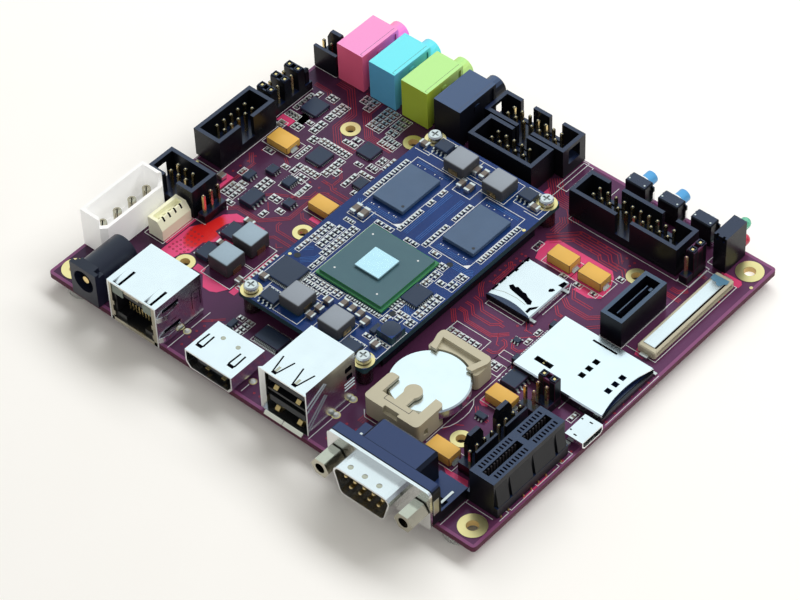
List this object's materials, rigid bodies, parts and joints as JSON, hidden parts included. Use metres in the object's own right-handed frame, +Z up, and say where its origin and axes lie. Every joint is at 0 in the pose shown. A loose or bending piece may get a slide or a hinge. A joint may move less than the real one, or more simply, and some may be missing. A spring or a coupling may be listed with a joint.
{
  "type": "computer baseboard",
  "caption": "Computer baseboard carrying a processor module, edge jacks for network, video, USB, serial and audio, shrouded pin headers, a coin cell holder and push switches.",
  "frame": {"origin": "centre of the baseboard's underside", "axes": "+X along the front edge towards the serial connector, +Y from the jacks at the front edge to the audio jacks at the back edge, +Z up through the board"},
  "size_m": [0.1367, 0.1241, 0.019],
  "materials": {
    "maroon_mask": "semi-gloss solder mask over fibreglass",
    "blue_mask": "semi-gloss solder mask over fibreglass",
    "black_plastic": "satin moulded black",
    "nickel": "bright nickel plate on steel",
    "gold": "gold plate",
    "silicon": "polished bare silicon, opaque",
    "package_teal": "dark green-black laminate",
    "memory_black": "moulded black epoxy",
    "white_plastic": "satin moulded white",
    "cream_plastic": "satin moulded cream",
    "holder_cream": "satin moulded beige",
    "audio_pink": "satin moulded pink",
    "audio_blue": "satin moulded light blue",
    "audio_green": "satin moulded lime green",
    "button_blue": "satin moulded blue",
    "lens_green": "tinted clear epoxy",
    "lens_red": "tinted clear epoxy",
    "slot_slate": "satin moulded blue-grey",
    "clear_rubber": "clear soft bumper"
  },
  "bodies": {
    "baseboard": {"baseboard_pcb": "maroon_mask", "module_pcb": "blue_mask", "module_fixing_1": "nickel", "module_fixing_2": "nickel", "module_fixing_3": "nickel", "module_fixing_4": "nickel", "module_bridge_left": "black_plastic", "module_bridge_right": "black_plastic", "processor_package": "package_teal", "processor_die": "silicon", "memory_chip_left": "memory_black", "memory_chip_right": "memory_black", "network_jack_shield": "nickel", "network_jack_insert": "black_plastic", "power_jack_housing": "black_plastic", "power_jack_pin": "gold", "video_jack_shell": "nickel", "video_jack_insert": "black_plastic", "usb_jack_shell": "nickel", "usb_jack_insert": "black_plastic", "d_connector_face": "nickel", "d_connector_insert": "black_plastic", "d_connector_housing": "black_plastic", "jackscrew_left": "nickel", "jackscrew_right": "nickel", "disk_power_header": "white_plastic", "cream_header": "cream_plastic", "box_header_small": "black_plastic", "box_header_left": "black_plastic", "box_header_back": "black_plastic", "box_header_slotted": "black_plastic", "box_header_long": "black_plastic", "lock_header_pair": "black_plastic", "lock_header_back": "black_plastic", "jumper_header": "black_plastic", "audio_jack_pink": "audio_pink", "audio_jack_blue": "audio_blue", "audio_jack_green": "audio_green", "audio_jack_black": "black_plastic", "switch_left_body": "black_plastic", "switch_middle_body": "black_plastic", "switch_right_body": "black_plastic", "light_holder": "black_plastic", "light_green": "lens_green", "light_red": "lens_red", "disk_data_header": "black_plastic", "display_connector": "nickel", "sim_holder": "nickel", "memory_card_socket": "nickel", "micro_usb_socket": "nickel", "cell_holder": "holder_cream", "coin_cell": "nickel", "edge_card_slot": "slot_slate", "foot_1": "clear_rubber", "foot_2": "clear_rubber", "foot_3": "clear_rubber", "foot_4": "clear_rubber"},
    "button_left": {"switch_left_button": "button_blue"},
    "button_middle": {"switch_middle_button": "button_blue"},
    "button_right": {"switch_right_button": "button_blue"}
  },
  "joints": [
    {"name": "left_button_press", "type": "slide", "parent": "baseboard", "child": "button_left", "axis": [0, -1, 0], "range_m": [0, 0.0003], "stiffness_N_per_m": 4000},
    {"name": "middle_button_press", "type": "slide", "parent": "baseboard", "child": "button_middle", "axis": [0, -1, 0], "range_m": [0, 0.0003], "stiffness_N_per_m": 4000},
    {"name": "right_button_press", "type": "slide", "parent": "baseboard", "child": "button_right", "axis": [0, -1, 0], "range_m": [0, 0.0003], "stiffness_N_per_m": 4000}
  ]
}
